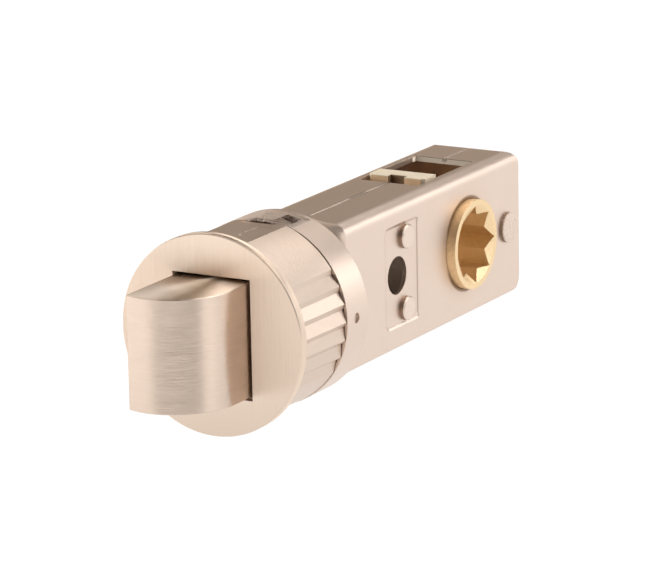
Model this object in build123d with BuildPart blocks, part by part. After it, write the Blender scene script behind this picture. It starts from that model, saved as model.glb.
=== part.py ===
from build123d import *
from math import asin, atan, cos, degrees, radians, sin, sqrt, tan
import os

# Tubular mortice latch, in millimetres.
# Origin: centre of the face disc's front plane.
# +Y runs into the door, the bolt points to -Y, +Z is up, and X is the spindle's axis.

# Overall sizes
backset = 57.0               # face to spindle axis
case_tail = 15.5             # spindle axis to the case's rear edge
case_width = 13.5
case_height = 20.1
sheet = 0.8                  # case metal
top_fold = 1.7               # outer radius of the two long folds at the top
bottom_fold = 0.6            # outer radius of the two at the bottom
rear_corner = 2.3            # rounding of the case's rear end, seen from the side
seam_gap = 0.12
seam_bevel = 0.13

# Face disc
face_overhang = 0.8          # disc's radius over the collar's
face_thickness = 1.3
face_edge = 0.12
face_seat_depth = 0.2        # recess in the back for the barrel
face_seat_clearance = 0.15

# Bolt
bolt_side_gap = 0.55         # between the bolt and each side wall, on average
bolt_height = 14.9
bolt_offset = 0.2            # bolt and slot sit a little to +X
bolt_nose_radius = 8.0       # cam face
bolt_straight = 4.0          # straight part of the +X side outside the face
bolt_behind_barrel = 1.7
bolt_edge = 0.12
bolt_throw = 10.5
pull_slot_start = 8.5        # front end of the slot for the yoke
spring_pocket_radius = 3.7

# Collar formed on the front of the case
collar_front = 13.15
collar_length = 5.45
collar_radius = 12.45
neck_length = 4.5            # from the round collar to the rectangular case
mouth_bevel = 0.35
tab_angle = 77.0             # staked tab on the collar, degrees from +X towards +Z
tab_width = 2.2
tab_length = 2.15
tab_sink = 0.3
tab_slot_length = 1.5
collar_pin_inset = 2.45      # from the collar's front edge
collar_pin_radius = 0.65
collar_pin_sink = 0.35
collar_pin_length = 1.9

# Ribbed barrel
collar_step = 0.1            # collar proud of the rib crests
rib_taper = 0.4              # smaller crest radius at the face
mouth_gap = 0.12             # shoulder to the collar's edge
barrel_short = 0.3           # barrel ends inside the collar
flat_edge = 72.0             # edge of the top flat, degrees from +X towards +Z
shoulder_bulge = 0.33        # of the slanted sides between the top flat and the ribs
rib_count = 7                # crests on each side
rib_pitch = 11.25            # degrees
rib_fall = 3.4               # degrees from a crest down to its valley
rib_depth = 0.45

# Coined panel with the two front rivets and the through hole
panel_ahead = 23.4           # panel's front edge, from the spindle axis
panel_length = 9.5
panel_height = 14.2
panel_depth = 0.2
panel_slope = 0.4            # width of the panel's sloping border
panel_corner = 1.1
through_hole_ahead = 19.8    # from the spindle axis
through_hole_radius = 2.6
front_rivet_ahead = 17.6     # from the spindle axis
front_rivet_height = 4.95
rivet_head_radius = 1.65
rivet_head_height = 0.7
rivet_edge = 0.2
rear_rivet_edge = 0.08
rivet_shank_radius = 1.1
rivet_spacer_radius = 1.6
rear_rivet_behind = 11.9     # from the spindle axis
rear_rivet_drop = 0.3         # its axis below the spindle's
rear_head_radius = 2.15
rear_head_height = 0.55
rear_shank_radius = 1.5
rear_spacer_radius = 2.2

# Windows in the top and bottom of the case
window_width = 9.0
window_ahead = 2.2           # in front of the crossbar at rest
window_end_gap = 0.1         # behind the crossbar when the bolt is in

# Spindle hub
hub_wall = 0.79              # metal outside the star's points
hub_proud = 1.35
hub_countersink = 60.0       # its half angle; it ends at the star's points
shoulder_step = 0.8          # shoulder radius over the journal's
star_across = 7.65
horn_proud = 0.25            # horn tips above the case at the top of their swing
horn_inner = 1.35
horn_outer = 3.6
horn_tip_width = 20.0        # degrees
horn_hollow_radius = 2.6     # hollow behind the horn's nose
horn_hollow_dip = 9.3        # its centre lies this many degrees below the nose
horn_root_front = 52.0       # degrees ahead of the nose
horn_root_rear = 12.0        # degrees behind the nose
horn_root_sink = 0.6
horn_gap = 0.05              # nose to crossbar at rest
nose_overlap = 0.05          # nose above the crossbar's lower edge at rest

# Crossbars and yoke
bar_thickness = 3.5
bar_proud = 0.35             # above the case
bar_notch_width = 2.6
bar_notch_depth = 1.1
bar_corner = 0.5             # bevels on the front corners
yoke_thickness = 2.0
yoke_web = 4.0
yoke_front_wall = 1.0        # between the spring pocket and the prongs
yoke_front_sink = 0.55       # prongs below the bolt's top and bottom
yoke_rear_wall = 0.4         # crossbar under the prongs
yoke_rear_sink = 0.45        # prongs below the case metal
yoke_jog_inset = 1.1         # behind the barrel
yoke_jog_length = 2.4
yoke_jog_lean = 0.6
yoke_pin_radius = 1.25

# Spring and its seats
stop_plate_gap = 1.8         # in front of the through hole
guide_plate_ahead = 13.4     # from the spindle axis
plate_thickness = 1.0
plate_sink = 0.5             # plates end below the prongs' outer edges
spring_mean_radius = 2.9
spring_wire_radius = 0.4
spring_wire_sides = 6        # the round wire is simplified
spring_turns = 5.5
guide_radius = 1.6
guide_length = 8.6
guide_shank_radius = 1.0

# Clearances
slot_side_gap = 0.3
slot_end_gap = 0.45
passage_end_gap = 0.35
side_clearance = 0.05
running_clearance = 0.06
pin_clearance = 0.02
window_clearance = 0.2
plate_slot_clearance = 0.25
hub_clearance = 0.3
end_float = 0.1

# Worked out from the sizes above
half_width = case_width / 2
half_height = case_height / 2
inner_half_width = half_width - sheet
inner_half_height = half_height - sheet
case_end = backset + case_tail
face_radius = collar_radius + face_overhang
bolt_width = 2 * (inner_half_width - bolt_side_gap)
star_radius = star_across / sqrt(2)
hub_radius = star_radius + hub_wall
panel_face = half_width - panel_depth
panel_middle = backset - panel_ahead + panel_length / 2
through_hole_y = backset - through_hole_ahead
front_rivet_y = backset - front_rivet_ahead
rear_rivet_y = backset + rear_rivet_behind

slot_width = bolt_width + 2 * slot_side_gap
slot_height = bolt_height + 2 * slot_end_gap
passage_height = bolt_height + 2 * passage_end_gap
bolt_left = bolt_offset - bolt_width / 2
bolt_right = bolt_offset + bolt_width / 2
nose_x = bolt_right - bolt_nose_radius

collar_rear = collar_front + collar_length
collar_inner = collar_radius - sheet
collar_pin_y = collar_front + collar_pin_inset
neck_end = collar_rear + neck_length
tab_rear = collar_front + tab_length
crest_rear_radius = collar_radius - collar_step
crest_front_radius = crest_rear_radius - rib_taper
barrel_neck_radius = collar_inner - side_clearance
barrel_front = face_thickness - face_seat_depth
shoulder_y = collar_front - mouth_gap
barrel_rear = collar_rear - barrel_short
bolt_rear = barrel_rear + bolt_behind_barrel
web_rear = pull_slot_start + yoke_web
web_middle = pull_slot_start + yoke_web / 2

bar_low = hub_radius + hub_clearance
bar_high = half_height + bar_proud
bar_half_width = window_width / 2 - window_clearance
horn_radius = half_height + horn_proud
nose_height = bar_low + nose_overlap
nose_ahead = sqrt(horn_radius**2 - nose_height**2)
nose_angle = degrees(asin(nose_ahead / horn_radius))
bar_front = backset - nose_ahead + horn_gap
bar_rear = bar_front + bar_thickness
window_front = bar_front - window_ahead
window_rear = bar_rear + bolt_throw + window_end_gap
shoulder_inner = bar_half_width + hub_clearance
shoulder_outer = inner_half_width - end_float

prong_front_low = spring_pocket_radius + yoke_front_wall
prong_front_high = bolt_height / 2 - yoke_front_sink
prong_low = bar_low + yoke_rear_wall
prong_high = inner_half_height - yoke_rear_sink
jog_start = barrel_rear + yoke_jog_inset
jog_end = jog_start + yoke_jog_length
stop_plate_front = through_hole_y - through_hole_radius - stop_plate_gap
guide_plate_front = backset - guide_plate_ahead
plate_half_height = prong_high - plate_sink

os.makedirs("parts", exist_ok=True)


def across(y):
    """Plane facing -Y at the given depth: sketch x is X, sketch y is Z."""
    return Plane.XZ.offset(-y)


def save(piece, label):
    piece.label = label
    export_step(piece, f"parts/{label}.step")


# Face disc: round plate with the bolt's slot and a shallow seat for the barrel
with BuildPart() as face_disc:
    with BuildSketch(across(0)):
        Circle(face_radius)
        with Locations((bolt_offset, 0)):
            Rectangle(slot_width, slot_height, mode=Mode.SUBTRACT)
    extrude(amount=-face_thickness)
    with BuildSketch(across(face_thickness)):
        Circle(collar_radius + face_seat_clearance)
    extrude(amount=face_seat_depth, mode=Mode.SUBTRACT)
    rim = face_disc.edges().filter_by(GeomType.CIRCLE).sort_by(Axis.Y)[0]
    chamfer(rim, face_edge)
save(face_disc.part, "face_disc")


# Latch bolt: D-shaped nose in plan, straight tail with a slot and a spring pocket
with BuildPart() as latch_bolt:
    nose_reach = sqrt(bolt_nose_radius**2 - (nose_x - bolt_left) ** 2)
    with BuildSketch(Plane.XY.offset(-bolt_height / 2)):
        with BuildLine():
            Polyline(
                (bolt_right, -bolt_straight),
                (bolt_right, bolt_rear),
                (bolt_left, bolt_rear),
                (bolt_left, -bolt_straight - nose_reach),
            )
            ThreePointArc(
                (bolt_left, -bolt_straight - nose_reach),
                (nose_x, -bolt_straight - bolt_nose_radius),
                (bolt_right, -bolt_straight),
            )
        make_face()
    extrude(amount=bolt_height)
    nose_edges = latch_bolt.edges().filter_by(GeomType.CIRCLE)
    chamfer(nose_edges, bolt_edge)
    with BuildSketch(across(bolt_rear)):
        Rectangle(yoke_thickness + 2 * side_clearance, bolt_height)
    extrude(amount=bolt_rear - pull_slot_start, mode=Mode.SUBTRACT)
    with BuildSketch(across(bolt_rear)):
        Circle(spring_pocket_radius)
    extrude(amount=bolt_rear - web_rear, mode=Mode.SUBTRACT)
    with BuildSketch(Plane.YZ):
        with Locations((web_middle, 0)):
            Circle(yoke_pin_radius + pin_clearance)
    extrude(amount=case_width, both=True, mode=Mode.SUBTRACT)
save(latch_bolt.part, "latch_bolt")


# Barrel: cast sleeve with saw-tooth ribs on both sides, flats above and below, and the bolt's passage
def rib_outline(crest, corner):
    """Closed outline through the crests and valleys; corner is the radius of the flats' edges."""
    first = rib_pitch * (rib_count - 1) / 2
    valley = crest - rib_depth
    teeth = [(crest, first)]
    for i in range(rib_count - 1):
        teeth.append((valley, first - i * rib_pitch - rib_fall))
        teeth.append((crest, first - (i + 1) * rib_pitch))
    teeth = [(r * cos(radians(a)), r * sin(radians(a))) for r, a in teeth]
    flat_x = corner * cos(radians(flat_edge))
    flat_z = corner * sin(radians(flat_edge))
    left_teeth = [(-x, z) for x, z in reversed(teeth)]
    Line((-flat_x, flat_z), (flat_x, flat_z))
    SagittaArc((flat_x, flat_z), teeth[0], -shoulder_bulge)
    Polyline(*teeth)
    SagittaArc(teeth[-1], (flat_x, -flat_z), -shoulder_bulge)
    Line((flat_x, -flat_z), (-flat_x, -flat_z))
    SagittaArc((-flat_x, -flat_z), left_teeth[0], -shoulder_bulge)
    Polyline(*left_teeth)
    SagittaArc(left_teeth[-1], (-flat_x, flat_z), -shoulder_bulge)


with BuildPart() as barrel_sleeve:
    with BuildSketch(across(barrel_front)):
        with BuildLine():
            rib_outline(crest_front_radius, collar_radius)
        make_face()
    with BuildSketch(across(shoulder_y)):
        with BuildLine():
            rib_outline(crest_rear_radius, collar_radius)
        make_face()
    loft(ruled=True)
    # ribbed neck inside the collar
    with BuildSketch(across(shoulder_y)):
        with BuildLine():
            rib_outline(barrel_neck_radius, barrel_neck_radius)
        make_face()
    extrude(amount=-(barrel_rear - shoulder_y))
    with BuildSketch(across(0)):
        with Locations((bolt_offset, 0)):
            Rectangle(slot_width, passage_height)
    extrude(amount=-barrel_rear, mode=Mode.SUBTRACT)
    for side in (1, -1):
        with BuildSketch(Plane.YZ.offset(side * collar_radius)):
            with Locations((collar_pin_y, 0)):
                Circle(collar_pin_radius + pin_clearance)
        extrude(amount=-side * (collar_pin_sink + collar_pin_length), mode=Mode.SUBTRACT)
save(barrel_sleeve.part, "barrel_sleeve")


# Stake pins that lock the barrel in the collar, one each side, sunk below the surface
for side, name in ((1, "right"), (-1, "left")):
    with BuildPart() as collar_pin:
        with BuildSketch(Plane.YZ.offset(side * (collar_radius - collar_pin_sink))):
            with Locations((collar_pin_y, 0)):
                Circle(collar_pin_radius)
        extrude(amount=-side * collar_pin_length)
    save(collar_pin.part, f"collar_pin_{name}")


# Case: one folded sheet, round at the collar and rectangular behind it, closed at the rear
def box_section(inset):
    """Section of the box: soft folds at the top, sharp ones at the bottom, square inside."""
    Rectangle(case_width - 2 * inset, case_height - 2 * inset)
    fillet(vertices().group_by(Axis.Y)[-1], top_fold - inset)
    if bottom_fold > inset:
        fillet(vertices().group_by(Axis.Y)[0], bottom_fold - inset)


def sleeve(inset):
    """Collar, neck and box, solid, drawn the given distance inside the outer surface."""
    with BuildPart() as shape:
        with BuildSketch(across(neck_end)):
            box_section(inset)
        extrude(amount=-(case_end - neck_end))
        with BuildSketch(Plane.YZ):
            with Locations(((neck_end + case_end - inset) / 2, 0)):
                Rectangle(case_end - inset - neck_end, case_height - 2 * inset)
            fillet(vertices().group_by(Axis.X)[-1], rear_corner - inset)
        extrude(amount=case_width, both=True, mode=Mode.INTERSECT)
        with BuildSketch(across(collar_rear)):
            Circle(collar_radius - inset)
        with BuildSketch(across(neck_end)):
            box_section(inset)
        loft()
        # the collar's circle starts and ends at the seam on top
        seam_on_top = Plane((0, collar_front, 0), x_dir=(0, 0, 1), z_dir=(0, -1, 0))
        with BuildSketch(seam_on_top):
            Circle(collar_radius - inset)
        extrude(amount=-collar_length)
    return shape.part


with BuildPart() as case:
    add(sleeve(0))
    add(sleeve(sheet), mode=Mode.SUBTRACT)
    # opened mouth over the ribs
    with BuildSketch(across(collar_front)):
        Circle(collar_inner + mouth_bevel)
    extrude(amount=-2 * mouth_bevel, taper=degrees(atan(0.5)), mode=Mode.SUBTRACT)
    # seam along the middle of the top, with bevelled edges
    with BuildSketch(Plane.XY.offset(inner_half_height - rear_corner)):
        with Locations((0, (collar_rear + case_end) / 2)):
            Rectangle(seam_gap, case_end - collar_rear)
    extrude(amount=collar_radius, mode=Mode.SUBTRACT)
    groove = seam_gap / 2 + seam_bevel
    with BuildSketch(across(neck_end)):
        with BuildLine():
            Polyline(
                (-groove, half_height),
                (groove, half_height),
                (0, half_height - groove),
                close=True,
            )
        make_face()
    extrude(amount=-(case_end - neck_end), mode=Mode.SUBTRACT)
    # windows, top and bottom
    with BuildSketch(Plane.XY.offset(-half_height)):
        with Locations((0, (window_front + window_rear) / 2)):
            Rectangle(window_width, window_rear - window_front)
    extrude(amount=case_height, mode=Mode.SUBTRACT)
    # side openings: spindle hub, through hole, rivets
    with BuildSketch(Plane.YZ):
        with Locations((backset, 0)):
            Circle(hub_radius + running_clearance)
        with Locations((through_hole_y, 0)):
            Circle(through_hole_radius)
        with Locations((front_rivet_y, front_rivet_height), (front_rivet_y, -front_rivet_height)):
            Circle(rivet_shank_radius + pin_clearance)
        with Locations((rear_rivet_y, -rear_rivet_drop)):
            Circle(rear_shank_radius + pin_clearance)
    extrude(amount=case_width, both=True, mode=Mode.SUBTRACT)
    # coined panels
    for side in (1, -1):
        with BuildSketch(Plane.YZ.offset(side * half_width)):
            with Locations((panel_middle, 0)):
                RectangleRounded(panel_length, panel_height, panel_corner)
        slope = degrees(atan(panel_slope / panel_depth))
        extrude(amount=-side * panel_depth, taper=slope, mode=Mode.SUBTRACT)
    # staked tab and its slot in the collar
    tab_plane = Plane.XY.rotated((0, 90 - tab_angle, 0)).offset(collar_radius)
    with BuildSketch(tab_plane):
        with Locations((0, collar_front + tab_length / 2)):
            Rectangle(tab_width, tab_length)
    extrude(amount=-tab_sink, mode=Mode.SUBTRACT)
    with BuildSketch(tab_plane):
        with Locations((0, tab_rear + tab_slot_length / 2)):
            Rectangle(tab_width, tab_slot_length)
    extrude(amount=-2 * sheet, mode=Mode.SUBTRACT)
    # holes for the stake pins
    with BuildSketch(Plane.YZ):
        with Locations((collar_pin_y, 0)):
            Circle(collar_pin_radius + pin_clearance)
    extrude(amount=collar_radius, both=True, mode=Mode.SUBTRACT)
save(case.part, "case")


# Yoke: flat U stamping; its web sits in the bolt, its prongs carry the crossbars
with BuildPart() as bolt_yoke:
    with BuildSketch(Plane.YZ.offset(-yoke_thickness / 2)):
        with BuildLine():
            upper = [
                (web_rear, prong_front_low),
                (jog_start, prong_front_low),
                (jog_end, prong_low),
                (bar_rear, prong_low),
                (bar_rear, prong_high),
                (jog_end - yoke_jog_lean, prong_high),
                (jog_start - yoke_jog_lean, prong_front_high),
                (pull_slot_start + side_clearance, prong_front_high),
            ]
            lower = [(y, -z) for y, z in reversed(upper)]
            Polyline(*upper, *lower, close=True)
        make_face()
        with Locations((web_middle, 0)):
            Circle(yoke_pin_radius + pin_clearance, mode=Mode.SUBTRACT)
    extrude(amount=yoke_thickness)
save(bolt_yoke.part, "bolt_yoke")


# Cross pin that holds the yoke in the bolt
with BuildPart() as yoke_pin:
    with BuildSketch(Plane.YZ.offset(bolt_left + side_clearance)):
        with Locations((web_middle, 0)):
            Circle(yoke_pin_radius)
    extrude(amount=bolt_width - 2 * side_clearance)
save(yoke_pin.part, "yoke_pin")


# Crossbars on the yoke's prongs, one in each window
for end, name in ((1, "upper"), (-1, "lower")):
    with BuildPart() as crossbar:
        with BuildSketch(Plane.XY.offset(end * bar_low)):
            with Locations((0, bar_front + bar_thickness / 2)):
                Rectangle(2 * bar_half_width, bar_thickness)
        extrude(amount=end * (bar_high - bar_low))
        with BuildSketch(across(bar_front)):
            with Locations((0, end * (prong_low + prong_high) / 2)):
                Rectangle(yoke_thickness, prong_high - prong_low)
        extrude(amount=-bar_thickness, mode=Mode.SUBTRACT)
        upright = crossbar.edges().filter_by(Axis.Z).filter_by(
            lambda edge: abs(abs(edge.center().X) - bar_half_width) < side_clearance
        )
        chamfer(upright.group_by(Axis.Y)[0], bar_corner)
        with BuildSketch(Plane.XY.offset(end * bar_high)):
            with Locations((0, bar_front + bar_notch_depth / 2)):
                Rectangle(bar_notch_width, bar_notch_depth)
        extrude(amount=-end * (bar_high - bar_low), mode=Mode.SUBTRACT)
    save(crossbar.part, f"crossbar_{name}")


# Stop plate behind the bolt spring, and guide plate in front of the hub
slot_low = prong_low - side_clearance
slot_depth = plate_half_height - slot_low
for name, front in (("stop_plate", stop_plate_front), ("guide_plate", guide_plate_front)):
    with BuildPart() as plate:
        with BuildSketch(across(front)):
            Rectangle(2 * (inner_half_width - side_clearance), 2 * plate_half_height)
            for end in (1, -1):
                with Locations((0, end * (slot_low + slot_depth / 2))):
                    slot_across = yoke_thickness + 2 * plate_slot_clearance
                    Rectangle(slot_across, slot_depth, mode=Mode.SUBTRACT)
            if name == "stop_plate":
                Circle(guide_shank_radius + pin_clearance, mode=Mode.SUBTRACT)
        extrude(amount=-plate_thickness)
    save(plate.part, name)


# Spring guide: shouldered post riveted into the stop plate
with BuildPart() as spring_guide:
    with BuildSketch(across(stop_plate_front)):
        Circle(guide_radius)
    extrude(amount=guide_length)
    with BuildSketch(across(stop_plate_front)):
        Circle(guide_shank_radius)
    extrude(amount=-plate_thickness)
save(spring_guide.part, "spring_guide")


# Bolt spring between the yoke's web and the stop plate
with BuildPart() as bolt_spring:
    spring_start = web_rear + spring_wire_radius + side_clearance
    spring_length = stop_plate_front - side_clearance - spring_wire_radius - spring_start
    with BuildLine():
        coil = Helix(
            pitch=spring_length / spring_turns,
            height=spring_length,
            radius=spring_mean_radius,
            center=(0, spring_start, 0),
            direction=(0, 1, 0),
        )
    with BuildSketch(Plane(coil @ 0, z_dir=coil % 0)):
        RegularPolygon(spring_wire_radius, spring_wire_sides)
    sweep(path=coil, is_frenet=True)
save(bolt_spring.part, "bolt_spring")


# Front rivets and their spacer tubes
for end, name in ((1, "upper"), (-1, "lower")):
    rivet_z = end * front_rivet_height
    with BuildPart() as front_rivet:
        with BuildSketch(Plane.YZ.offset(-panel_face)):
            with Locations((front_rivet_y, rivet_z)):
                Circle(rivet_shank_radius)
        extrude(amount=2 * panel_face)
        for side in (1, -1):
            with BuildSketch(Plane.YZ.offset(side * panel_face)):
                with Locations((front_rivet_y, rivet_z)):
                    Circle(rivet_head_radius)
            extrude(amount=side * rivet_head_height)
        ends = front_rivet.edges().filter_by(GeomType.CIRCLE).group_by(Axis.X)
        chamfer(ends[0] + ends[-1], rivet_edge)
    save(front_rivet.part, f"front_rivet_{name}")
    with BuildPart() as front_spacer:
        with BuildSketch(Plane.YZ):
            with Locations((front_rivet_y, rivet_z)):
                Circle(rivet_spacer_radius)
                Circle(rivet_shank_radius + pin_clearance, mode=Mode.SUBTRACT)
        extrude(amount=inner_half_width, both=True)
    save(front_spacer.part, f"front_spacer_{name}")


# Rear rivet, peened over at both ends, and its spacer tube
with BuildPart() as rear_rivet:
    with BuildSketch(Plane.YZ.offset(-half_width)):
        with Locations((rear_rivet_y, -rear_rivet_drop)):
            Circle(rear_shank_radius)
    extrude(amount=case_width)
    for side in (1, -1):
        with BuildSketch(Plane.YZ.offset(side * half_width)):
            with Locations((rear_rivet_y, -rear_rivet_drop)):
                Circle(rear_head_radius)
        extrude(amount=side * rear_head_height)
    ends = rear_rivet.edges().filter_by(GeomType.CIRCLE).group_by(Axis.X)
    chamfer(ends[0] + ends[-1], rear_rivet_edge)
save(rear_rivet.part, "rear_rivet")

with BuildPart() as rear_spacer:
    with BuildSketch(Plane.YZ):
        with Locations((rear_rivet_y, -rear_rivet_drop)):
            Circle(rear_spacer_radius)
            Circle(rear_shank_radius + pin_clearance, mode=Mode.SUBTRACT)
    extrude(amount=inner_half_width, both=True)
save(rear_spacer.part, "rear_spacer")


# Spindle hub: star bore, two journals, shoulders and two pairs of horns
def on_circle(radius, angle):
    """Point of the hub's side view; angle is measured from straight up towards the front."""
    return (backset - radius * sin(radians(angle)), radius * cos(radians(angle)))


root_radius = hub_radius - horn_root_sink
nose = on_circle(horn_radius, nose_angle)
crown = on_circle(horn_radius, nose_angle + horn_tip_width / 2)
front = on_circle(horn_radius, nose_angle + horn_tip_width)
root_front = on_circle(root_radius, nose_angle + horn_root_front)
root_rear = on_circle(root_radius, nose_angle - horn_root_rear)
hollow_centre = (
    nose[0] + horn_hollow_radius * cos(radians(horn_hollow_dip)),
    nose[1] - horn_hollow_radius * sin(radians(horn_hollow_dip)),
)

with BuildPart() as latch_hub:
    with BuildSketch(Plane.YZ):
        with Locations((backset, 0)):
            Circle(hub_radius)
    extrude(amount=half_width + hub_proud, both=True)
    for side in (1, -1):
        with BuildSketch(Plane.YZ.offset(side * shoulder_inner)):
            with Locations((backset, 0)):
                Circle(hub_radius + shoulder_step)
        extrude(amount=side * (shoulder_outer - shoulder_inner))
        with BuildSketch(Plane.YZ.offset(side * horn_inner)):
            with BuildLine():
                ThreePointArc(nose, crown, front)
                Line(front, root_front)
                Line(root_front, root_rear)
                Line(root_rear, nose)
            make_face()
            with Locations(hollow_centre):
                Circle(horn_hollow_radius, mode=Mode.SUBTRACT)
            mirror(about=Plane.XZ)
        extrude(amount=side * (horn_outer - horn_inner))
    with BuildSketch(Plane.YZ):
        with Locations((backset, 0)):
            Rectangle(star_across, star_across)
            Rectangle(star_across, star_across, rotation=45)
    extrude(amount=case_width, both=True, mode=Mode.SUBTRACT)
    for side in (1, -1):
        with BuildSketch(Plane.YZ.offset(side * (half_width + hub_proud))):
            with Locations((backset, 0)):
                Circle(star_radius)
        sink = (star_radius - star_across / 2) / tan(radians(hub_countersink))
        extrude(amount=-side * sink, taper=hub_countersink, mode=Mode.SUBTRACT)
save(latch_hub.part, "latch_hub")
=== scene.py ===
import math

import bpy
from mathutils import Matrix, Vector


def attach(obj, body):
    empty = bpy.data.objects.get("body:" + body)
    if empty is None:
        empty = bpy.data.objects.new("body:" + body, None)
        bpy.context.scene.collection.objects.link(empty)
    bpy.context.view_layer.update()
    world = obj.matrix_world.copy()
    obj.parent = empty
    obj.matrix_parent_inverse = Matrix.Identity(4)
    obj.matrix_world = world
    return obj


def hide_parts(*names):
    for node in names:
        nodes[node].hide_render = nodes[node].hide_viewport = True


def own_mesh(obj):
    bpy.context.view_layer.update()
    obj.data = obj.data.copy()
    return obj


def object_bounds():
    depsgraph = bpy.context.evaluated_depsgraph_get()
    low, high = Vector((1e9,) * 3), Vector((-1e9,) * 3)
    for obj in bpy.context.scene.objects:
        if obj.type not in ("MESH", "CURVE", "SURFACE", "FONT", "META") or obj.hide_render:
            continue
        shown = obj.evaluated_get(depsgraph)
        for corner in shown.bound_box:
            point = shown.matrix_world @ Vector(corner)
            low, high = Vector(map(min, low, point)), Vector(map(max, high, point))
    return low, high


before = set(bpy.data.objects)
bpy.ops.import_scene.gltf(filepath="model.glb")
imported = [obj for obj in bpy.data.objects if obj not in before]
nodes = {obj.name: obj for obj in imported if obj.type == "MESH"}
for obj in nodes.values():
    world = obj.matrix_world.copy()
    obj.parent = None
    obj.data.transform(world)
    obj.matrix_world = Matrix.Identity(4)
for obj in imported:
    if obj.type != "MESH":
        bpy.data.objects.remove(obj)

MM = 0.001
scene = bpy.context.scene
cad_low, cad_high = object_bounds()

# Camera of the photograph, fitted to the latch's corners
CAMERA_AZIMUTH = 29.72
CAMERA_ELEVATION = 14.52
CAMERA_ROLL = -1.107
CAMERA_DISTANCE = 552.8 * MM
CAMERA_TARGET = Vector((-0.07, 31.32, -1.83)) * MM
CAMERA_LENS = 225.08
CAMERA_SENSOR = 36
CAMERA_CLIP_START = 10 * MM

scene.view_settings.view_transform = "Standard"


def direction(azimuth, elevation):
    """Unit vector from the latch: azimuth 0 is -Y and 90 is +X, as seen from above."""
    a, e = math.radians(azimuth), math.radians(elevation)
    return Vector((math.sin(a) * math.cos(e), -math.cos(a) * math.cos(e), math.sin(e)))


def make_camera():
    back = direction(CAMERA_AZIMUTH, CAMERA_ELEVATION)
    right = Vector((0, 0, 1)).cross(back).normalized()
    up = back.cross(right)
    turn = math.radians(CAMERA_ROLL)
    side = math.cos(turn) * right + math.sin(turn) * up
    top = math.cos(turn) * up - math.sin(turn) * right
    data = bpy.data.cameras.new("camera")
    data.sensor_fit = "HORIZONTAL"
    data.sensor_width = CAMERA_SENSOR
    data.lens = CAMERA_LENS
    data.clip_start = CAMERA_CLIP_START
    camera = bpy.data.objects.new("camera", data)
    scene.collection.objects.link(camera)
    turned = Matrix((side, top, back)).transposed().to_4x4()
    camera.matrix_world = Matrix.Translation(CAMERA_TARGET + back * CAMERA_DISTANCE) @ turned
    scene.camera = camera


# Studio: a white floor that glows, more so ahead of the disc, a dim warm room and soft boxes
FLOOR_HALF = 6.0
FLOOR_GAP = 0.05 * MM
FLOOR_GREY = 0.02
FLOOR_LIGHT = 1.0
AHEAD_AZIMUTH = -30
AHEAD_REACH = 110 * MM
AHEAD_LIGHT = 0.55
ROOM_COLOUR = (0.47, 0.42, 0.37)
ROOM_LIGHT = 0.06
WHITE = (1.0, 1.0, 1.0)
WARM = (1.0, 0.80, 0.60)
SOFT_BOX_DISTANCE = 0.7
# name, azimuth, elevation, width, height, brightness, colour. The first brightnesses came from a
# least-squares fit of single-light renders to the photo's shading, and were then changed.
SOFT_BOXES = [
    ("rear_left_low", -150, 8, 0.38, 0.20, 0.65, WARM),
    ("left", -105, 19, 0.75, 0.55, 1.35, WHITE),
    ("front_left_low", -50, 8, 0.75, 0.20, 0.75, WHITE),
    ("front_left", -45, 30, 0.75, 0.35, 1.9, WHITE),
    ("right_front", 84, 22, 0.30, 0.55, 1.4, WHITE),
    ("right_low", 130, 7, 0.99, 0.17, 1.32, WHITE),
    ("right_middle", 110, 21, 0.49, 0.17, 0.95, WHITE),
    ("right_bright", 141, 20, 0.28, 0.18, 3.1, WHITE),
    ("right_high", 120, 42, 0.74, 0.34, 1.1, WHITE),
    ("rear_high", 172, 50, 0.50, 0.19, 2.6, WHITE),
    ("rear_top", 180, 68, 0.5, 0.35, 1.0, WARM),
    ("right_top", 120, 66, 0.5, 0.35, 1.9, WHITE),
    ("left_top", -60, 66, 0.9, 0.35, 0.4, WARM),
]


def make_floor():
    bottom = cad_low.z - FLOOR_GAP
    mesh = bpy.data.meshes.new("floor")
    corners = [(x * FLOOR_HALF, y * FLOOR_HALF, bottom) for x, y in ((-1, -1), (1, -1), (1, 1), (-1, 1))]
    mesh.from_pydata(corners, [], [(0, 1, 2, 3)])
    floor = bpy.data.objects.new("floor", mesh)
    scene.collection.objects.link(floor)
    material = bpy.data.materials.new("floor_white")
    material.use_nodes = True
    tree = material.node_tree
    shader = tree.nodes["Principled BSDF"]
    shader.inputs["Base Color"].default_value = (FLOOR_GREY, FLOOR_GREY, FLOOR_GREY, 1)
    shader.inputs["Roughness"].default_value = 1.0
    shader.inputs["Emission Color"].default_value = (*WHITE, 1)
    place = tree.nodes.new("ShaderNodeTexCoord")
    ahead = tree.nodes.new("ShaderNodeVectorMath")
    ahead.operation = "DOT_PRODUCT"
    tree.links.new(place.outputs["Object"], ahead.inputs[0])
    ahead.inputs[1].default_value = direction(AHEAD_AZIMUTH, 0)
    rise = tree.nodes.new("ShaderNodeMapRange")
    tree.links.new(ahead.outputs["Value"], rise.inputs["Value"])
    rise.inputs["From Min"].default_value = 0
    rise.inputs["From Max"].default_value = AHEAD_REACH
    rise.inputs["To Min"].default_value = FLOOR_LIGHT
    rise.inputs["To Max"].default_value = FLOOR_LIGHT + AHEAD_LIGHT
    tree.links.new(rise.outputs[0], shader.inputs["Emission Strength"])
    mesh.materials.append(material)


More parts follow.
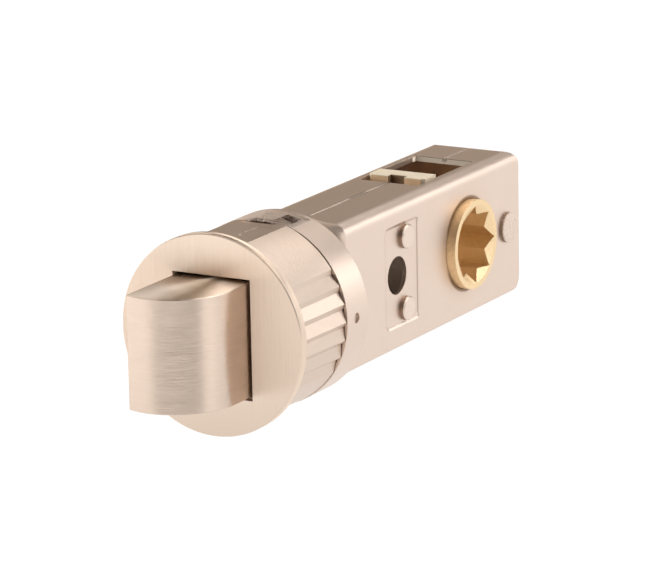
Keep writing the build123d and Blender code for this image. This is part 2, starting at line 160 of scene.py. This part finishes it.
def make_lights():
    world = bpy.data.worlds.new("room")
    world.use_nodes = True
    room = world.node_tree.nodes["Background"]
    room.inputs["Color"].default_value = (*ROOM_COLOUR, 1)
    room.inputs["Strength"].default_value = ROOM_LIGHT
    scene.world = world

    centre = (cad_low + cad_high) / 2
    for name, azimuth, elevation, width, height, brightness, colour in SOFT_BOXES:
        data = bpy.data.lights.new(name, "AREA")
        data.shape = "RECTANGLE"
        data.size = width
        data.size_y = height
        data.energy = brightness * math.pi * width * height
        data.color = colour
        light = bpy.data.objects.new(name, data)
        scene.collection.objects.link(light)
        toward = direction(azimuth, elevation)
        light.location = centre + toward * SOFT_BOX_DISTANCE
        light.rotation_euler = toward.to_track_quat("Z", "Y").to_euler()


# The bolt's spring: a fixed coil of round wire on the case; the real one is pressed together as the bolt
# slides in
SPRING_START = 12.95
SPRING_END = 32.35
SPRING_TURNS = 5.5
SPRING_RADIUS = 2.9
WIRE_RADIUS = 0.4
WIRE_SIDES = 14
STEPS_PER_TURN = 40


def make_spring():
    steps = round(SPRING_TURNS * STEPS_PER_TURN)
    ring = [2 * math.pi * i / WIRE_SIDES for i in range(WIRE_SIDES)]
    points = []
    for step in range(steps + 1):
        share = step / steps
        turn = 2 * math.pi * SPRING_TURNS * share
        out = Vector((math.cos(turn), 0, math.sin(turn)))
        middle = out * SPRING_RADIUS
        middle.y = SPRING_START + (SPRING_END - SPRING_START) * share
        for angle in ring:
            around = math.cos(angle) * out + Vector((0, math.sin(angle), 0))
            points.append((middle + WIRE_RADIUS * around) * MM)
    faces = []
    for step in range(steps):
        for i in range(WIRE_SIDES):
            a = step * WIRE_SIDES + i
            b = step * WIRE_SIDES + (i + 1) % WIRE_SIDES
            faces.append((a, b, b + WIRE_SIDES, a + WIRE_SIDES))
    faces.append(tuple(reversed(range(WIRE_SIDES))))
    faces.append(tuple(range(steps * WIRE_SIDES, (steps + 1) * WIRE_SIDES)))
    mesh = bpy.data.meshes.new("spring_coil")
    mesh.from_pydata(points, [], faces)
    mesh.shade_smooth()
    coil = bpy.data.objects.new("spring_coil", mesh)
    scene.collection.objects.link(coil)
    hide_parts("bolt_spring")
    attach(coil, "case")
    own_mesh(coil)


# Bulged cheeks over the barrel's sides between its flats and its ribs. They run from the flat's
# edge to the first rib, grow toward the collar, and a last row tucks their rear edge in.
CHEEK_FRONT = 1.1
CHEEK_REAR = 13.03
CHEEK_FLAT_RADIUS = 12.45
CHEEK_FLAT_ANGLE = math.radians(72)
CHEEK_RIB_ANGLE = math.radians(33.75)
CHEEK_RIB_RADII = (11.95, 12.35)
CHEEK_BULGES = (0.15, 0.60)
CHEEK_TUCK = 0.8
CHEEK_TUCK_SLOPE = 6
CHEEK_CREASE = math.radians(40)
CHEEK_STEPS = 20


def between(ends, share):
    return ends[0] + (ends[1] - ends[0]) * share


def make_cheeks():
    points, faces = [], []
    ax = CHEEK_FLAT_RADIUS * math.cos(CHEEK_FLAT_ANGLE)
    az = CHEEK_FLAT_RADIUS * math.sin(CHEEK_FLAT_ANGLE)
    for side in (1, -1):
        for height in (1, -1):
            start = len(points)
            for row in range(CHEEK_STEPS + 2):
                share = min(row / CHEEK_STEPS, 1)
                radius = between(CHEEK_RIB_RADII, share)
                bulge = between(CHEEK_BULGES, share)
                y = between((CHEEK_FRONT, CHEEK_REAR), share)
                bx, bz = radius * math.cos(CHEEK_RIB_ANGLE), radius * math.sin(CHEEK_RIB_ANGLE)
                length = math.hypot(bx - ax, bz - az)
                tuck = CHEEK_TUCK if row > CHEEK_STEPS else 0.0
                for step in range(CHEEK_STEPS + 1):
                    t = step / CHEEK_STEPS
                    fade = min(1, CHEEK_TUCK_SLOPE * t, CHEEK_TUCK_SLOPE * (1 - t))
                    out = bulge * 4 * t * (1 - t) - tuck * fade
                    x = ax + (bx - ax) * t + out * (az - bz) / length
                    z = az + (bz - az) * t + out * (bx - ax) / length
                    points.append(Vector((side * x, y, height * z)) * MM)
            for row in range(CHEEK_STEPS + 1):
                for step in range(CHEEK_STEPS):
                    a = start + row * (CHEEK_STEPS + 1) + step
                    b = a + CHEEK_STEPS + 1
                    corners = (a, a + 1, b + 1, b)
                    faces.append(corners if side * height > 0 else corners[::-1])
    mesh = bpy.data.meshes.new("barrel_cheeks")
    mesh.from_pydata(points, [], faces)
    mesh.shade_smooth()
    mesh.set_sharp_from_angle(angle=CHEEK_CREASE)
    cheeks = bpy.data.objects.new("barrel_cheeks", mesh)
    scene.collection.objects.link(cheeks)
    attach(cheeks, "case")


# Materials
BUMP_DISTANCE = 20 * MM
MIX_FROM, MIX_TO, MIX_RESULT = 6, 7, 2  # a Mix node's colour sockets


class Metal:
    """A metal's node tree. Lengths are in millimetres, and noise lies around 0.5."""

    def __init__(self, name, colour, roughness, streaks, tone, depth, mottle=0.04):
        """streaks: features per millimetre along X, Y and Z. tone, depth: how far they change
        the colour and roughness, and the height. mottle: how far broad clouds change the colour."""
        self.material = bpy.data.materials.new(name)
        self.material.use_nodes = True
        self.tree = self.material.node_tree
        self.shader = self.tree.nodes["Principled BSDF"]
        self.shader.inputs["Metallic"].default_value = 1.0
        self.place = self.add("ShaderNodeTexCoord").outputs["Object"]
        split = self.add("ShaderNodeSeparateXYZ")
        self.link(self.place, split.inputs[0])
        self.x, self.y, self.z = [self.maths("DIVIDE", s, MM) for s in split.outputs]
        fine = self.noise(streaks, detail=4.0, roughness=0.65)
        broad = self.noise((0.11, 0.11, 0.11), detail=2.0)
        light = self.maths("ADD", self.centred(fine, tone), self.centred(broad, mottle))
        shade = self.add("ShaderNodeVectorMath", operation="SCALE")
        shade.inputs[0].default_value = colour
        self.link(self.maths("ADD", light, 1.0), shade.inputs["Scale"])
        self.colour = shade.outputs[0]
        self.rough = self.maths("ADD", self.centred(fine, tone), roughness)
        self.height = self.maths("MULTIPLY", fine, depth)

    def add(self, kind, **values):
        node = self.tree.nodes.new(kind)
        for key, value in values.items():
            setattr(node, key, value)
        return node

    def link(self, value, socket):
        if hasattr(value, "is_linked"):
            self.tree.links.new(value, socket)
        else:
            socket.default_value = value

    def maths(self, operation, *values):
        node = self.add("ShaderNodeMath", operation=operation)
        for socket, value in zip(node.inputs, values):
            self.link(value, socket)
        return node.outputs[0]

    def centred(self, value, amount):
        return self.maths("MULTIPLY", self.maths("SUBTRACT", value, 0.5), amount)

    def noise(self, per_mm, detail=3.0, roughness=0.5):
        stretch = self.add("ShaderNodeMapping")
        self.link(self.place, stretch.inputs["Vector"])
        stretch.inputs["Scale"].default_value = [n / MM for n in per_mm]
        node = self.add("ShaderNodeTexNoise")
        self.link(stretch.outputs[0], node.inputs["Vector"])
        node.inputs["Scale"].default_value = 1.0
        node.inputs["Detail"].default_value = detail
        node.inputs["Roughness"].default_value = roughness
        return node.outputs["Fac"]

    def ramp(self, value, low, high):
        """0 at low, 1 at high, and straight between them; low may be the larger."""
        node = self.add("ShaderNodeMapRange", clamp=True)
        self.link(value, node.inputs["Value"])
        node.inputs["From Min"].default_value = low
        node.inputs["From Max"].default_value = high
        return node.outputs[0]

    def band(self, value, low, high, soft):
        """1 between low and high, fading to 0 over soft outside them."""
        rise = self.ramp(value, low - soft, low)
        return self.maths("MULTIPLY", rise, self.ramp(value, high + soft, high))

    def both(self, *masks):
        """The product of the masks."""
        result = masks[0]
        for mask in masks[1:]:
            result = self.maths("MULTIPLY", result, mask)
        return result

    def stain(self, mask, colour):
        node = self.add("ShaderNodeMix", data_type="RGBA")
        self.link(mask, node.inputs["Factor"])
        self.link(self.colour, node.inputs[MIX_FROM])
        node.inputs[MIX_TO].default_value = (*colour, 1)
        self.colour = node.outputs[MIX_RESULT]

    def roughen(self, mask, amount):
        self.rough = self.maths("ADD", self.rough, self.maths("MULTIPLY", mask, amount))

    def carve(self, pattern, depth):
        self.height = self.maths("ADD", self.height, self.maths("MULTIPLY", pattern, depth))

    def finish(self, edge, *names):
        """Soft edges of the given radius, then the material goes on these nodes or pieces."""
        corner = self.add("ShaderNodeBevel", samples=4)
        corner.inputs["Radius"].default_value = edge * MM
        bump = self.add("ShaderNodeBump")
        self.link(self.height, bump.inputs["Height"])
        bump.inputs["Distance"].default_value = BUMP_DISTANCE
        self.link(corner.outputs[0], bump.inputs["Normal"])
        self.link(bump.outputs[0], self.shader.inputs["Normal"])
        self.link(self.colour, self.shader.inputs["Base Color"])
        self.link(self.rough, self.shader.inputs["Roughness"])
        for name in names:
            mesh = (nodes[name] if name in nodes else bpy.data.objects[name]).data
            mesh.materials.clear()
            mesh.materials.append(self.material)


NICKEL = (0.755, 0.615, 0.52)
BRASS = (0.88, 0.66, 0.395)


def make_disc():
    m = Metal("disc_brushed", (0.87, 0.715, 0.585), 0.50, (1.8, 1.0, 0.07), 0.18, 0.003)
    m.carve(m.noise((5.0, 1.0, 0.2)), 0.002)
    m.shader.inputs["Anisotropic"].default_value = 0.9
    m.finish(0.05, "face_disc")


def make_bolt():
    m = Metal("bolt_brushed", (0.745, 0.60, 0.495), 0.36, (0.25, 0.25, 2.6), 0.20, 0.0015, mottle=0.08)
    m.carve(m.noise((0.5, 0.5, 5.0)), 0.0015)
    m.roughen(m.ramp(m.noise((0.3, 0.3, 0.9)), 0.35, 0.75), 0.06)
    # rougher top, and a painted highlight that lightens it
    top = m.ramp(m.z, 7.35, 7.5)
    m.roughen(top, 0.18)
    m.stain(m.maths("MULTIPLY", top, 0.6), (0.98, 0.85, 0.70))
    m.shader.inputs["Anisotropic"].default_value = 0.9
    m.shader.inputs["Anisotropic Rotation"].default_value = 0.25
    m.finish(0.08, "latch_bolt")


def make_barrel():
    m = Metal("barrel_cast", (0.70, 0.57, 0.475), 0.42, (1.5, 0.5, 1.5), 0.06, 0.001)
    m.carve(m.noise((3.0, 3.0, 3.0)), 0.0012)
    # cracked mould line along the top flat
    bends = m.noise((0.2, 1.1, 0.2), detail=4.0, roughness=0.7)
    wander = m.maths("ADD", m.x, m.centred(bends, 2.6))
    line = m.both(
        m.band(wander, 0.68, 0.80, 0.07),
        m.band(m.y, 5.4, 10.8, 0.4),
        m.ramp(m.noise((0.3, 1.6, 0.3)), 0.46, 0.52),
        m.ramp(m.z, 11.0, 11.5),
    )
    m.stain(line, (0.98, 0.88, 0.78))
    m.carve(m.both(line, m.noise((3.0, 3.0, 3.0))), 0.15)
    m.finish(0.10, "barrel_sleeve", "barrel_cheeks")


HUB_Y = 57.0
PANEL_Y = 38.35
PANEL_HALF_WIDTH = 4.75
PANEL_HALF_HEIGHT = 7.1


def make_case():
    m = Metal("case_satin", NICKEL, 0.40, (3.0, 0.4, 3.0), 0.05, 0.0005)
    m.carve(m.noise((3.0, 3.0, 3.0)), 0.0007)
    # staked tab: torn and beaten metal round the slot in the collar
    tab = m.both(m.ramp(m.z, 10.6, 11.2), m.band(m.x, -1.0, 3.2, 1.4), m.band(m.y, 12.8, 16.8, 1.2))
    m.carve(m.both(tab, m.noise((1.2, 1.2, 1.2), detail=4.0, roughness=0.7)), 1.2)
    # cut rear edge of the upper window: rough, and lightened with a painted highlight
    rear_cut_and_highlight = m.both(
        m.band(m.z, 9.15, 9.95, 0.05), m.band(m.y, 62.3, 63.3, 0.1), m.band(m.x, -4.6, 4.6, 0.1),
    )
    m.carve(m.both(rear_cut_and_highlight, m.z), -0.12)
    # painted highlight on the cut edge
    m.stain(rear_cut_and_highlight, (0.99, 0.90, 0.78))
    m.roughen(rear_cut_and_highlight, 0.25)
    # the seam closes in places
    shut = m.both(
        m.band(m.x, -0.35, 0.35, 0.05), m.ramp(m.z, 9.5, 9.7),
        m.ramp(m.noise((0.02, 0.09, 0.02)), 0.52, 0.46),
    )
    m.stain(m.maths("MULTIPLY", shut, 0.7), (0.30, 0.24, 0.20))
    # painted shade along the inner border of the stamped panel on each side, heavier at its rear edge
    side = m.ramp(m.maths("ABSOLUTE", m.x), 6.2, 6.4)
    from_middle = m.maths("ABSOLUTE", m.maths("SUBTRACT", m.y, PANEL_Y))
    past_y = m.maths("SUBTRACT", from_middle, PANEL_HALF_WIDTH)
    past_z = m.maths("SUBTRACT", m.maths("ABSOLUTE", m.z), PANEL_HALF_HEIGHT)
    panel_border_shade = m.band(m.maths("MAXIMUM", past_y, past_z), -0.42, -0.30, 0.10)
    weight = m.maths("ADD", m.maths("MULTIPLY", m.ramp(m.y, 42.3, 42.6), 0.35), 0.3)
    m.stain(m.both(side, panel_border_shade, weight), (0.34, 0.25, 0.19))
    # painted shade where the hub comes through the side, at its top and bottom, and a duller side round
    # it
    across = m.maths("SUBTRACT", m.y, HUB_Y)
    squares = m.maths("ADD", m.maths("MULTIPLY", across, across), m.maths("MULTIPLY", m.z, m.z))
    ring = m.maths("SQRT", squares)
    ends = m.ramp(m.maths("ABSOLUTE", m.z), 2.0, 4.5)
    m.stain(m.both(side, ends, m.band(ring, 6.0, 6.5, 0.3)), (0.30, 0.20, 0.13))
    m.roughen(m.ramp(ring, 9.5, 6.5), 0.15)
    m.finish(0.12, "case")


def make_small_parts():
    m = Metal("rivet_nickel", (0.80, 0.66, 0.56), 0.40, (2.5, 2.5, 2.5), 0.10, 0.003)
    # painted shade on the sides of the rivet heads, below their faces
    m.stain(m.ramp(m.maths("ABSOLUTE", m.x), 7.12, 6.98), (0.36, 0.26, 0.20))
    m.finish(0.12, "front_rivet_upper", "front_rivet_lower")
    m = Metal("rivet_rough", (0.82, 0.68, 0.58), 0.50, (2.0, 2.0, 2.0), 0.20, 0.03)
    # painted shade on the side of the rivet head, below its face
    m.stain(m.ramp(m.maths("ABSOLUTE", m.x), 7.2, 7.05), (0.36, 0.27, 0.21))
    m.finish(0.05, "rear_rivet")
    m = Metal("hub_brass", BRASS, 0.40, (2.0, 2.0, 2.0), 0.22, 0.005)
    m.carve(m.noise((0.3, 4.0, 4.0)), 0.001)
    m.finish(0.10, "latch_hub")
    m = Metal("bar_sheared", (0.99, 0.89, 0.72), 0.70, (3.0, 3.0, 3.0), 0.30, 0.03)
    # shaded as if its faces leaned toward -X, which the mesh doesn't; amber front, painted shade in its
    # notch
    m.carve(m.x, 0.12)
    height = m.maths("ABSOLUTE", m.z)
    below_top = m.ramp(height, 10.35, 10.25)
    m.stain(m.both(m.ramp(m.y, 49.3, 49.15), below_top), (0.98, 0.74, 0.48))
    notch_shade = m.both(m.band(m.x, -1.35, 1.35, 0.05), m.band(m.y, 49.3, 50.3, 0.05), below_top)
    # painted shade in the notch
    m.stain(notch_shade, (0.40, 0.27, 0.17))
    m.finish(0.10, "crossbar_upper", "crossbar_lower")
    m = Metal("inner_steel", (0.72, 0.60, 0.50), 0.60, (2.0, 2.0, 2.0), 0.15, 0.002)
    m.finish(
        0.05, "bolt_yoke", "yoke_pin", "stop_plate", "guide_plate", "spring_guide",
        "front_spacer_upper", "front_spacer_lower", "rear_spacer", "collar_pin_right", "collar_pin_left",
    )
    m = Metal("spring_wire", (0.50, 0.46, 0.43), 0.35, (3.0, 3.0, 3.0), 0.10, 0.001)
    m.finish(0.02, "spring_coil")


make_camera()
make_floor()
make_lights()
make_spring()
make_cheeks()
make_disc()
make_bolt()
make_barrel()
make_case()
make_small_parts()
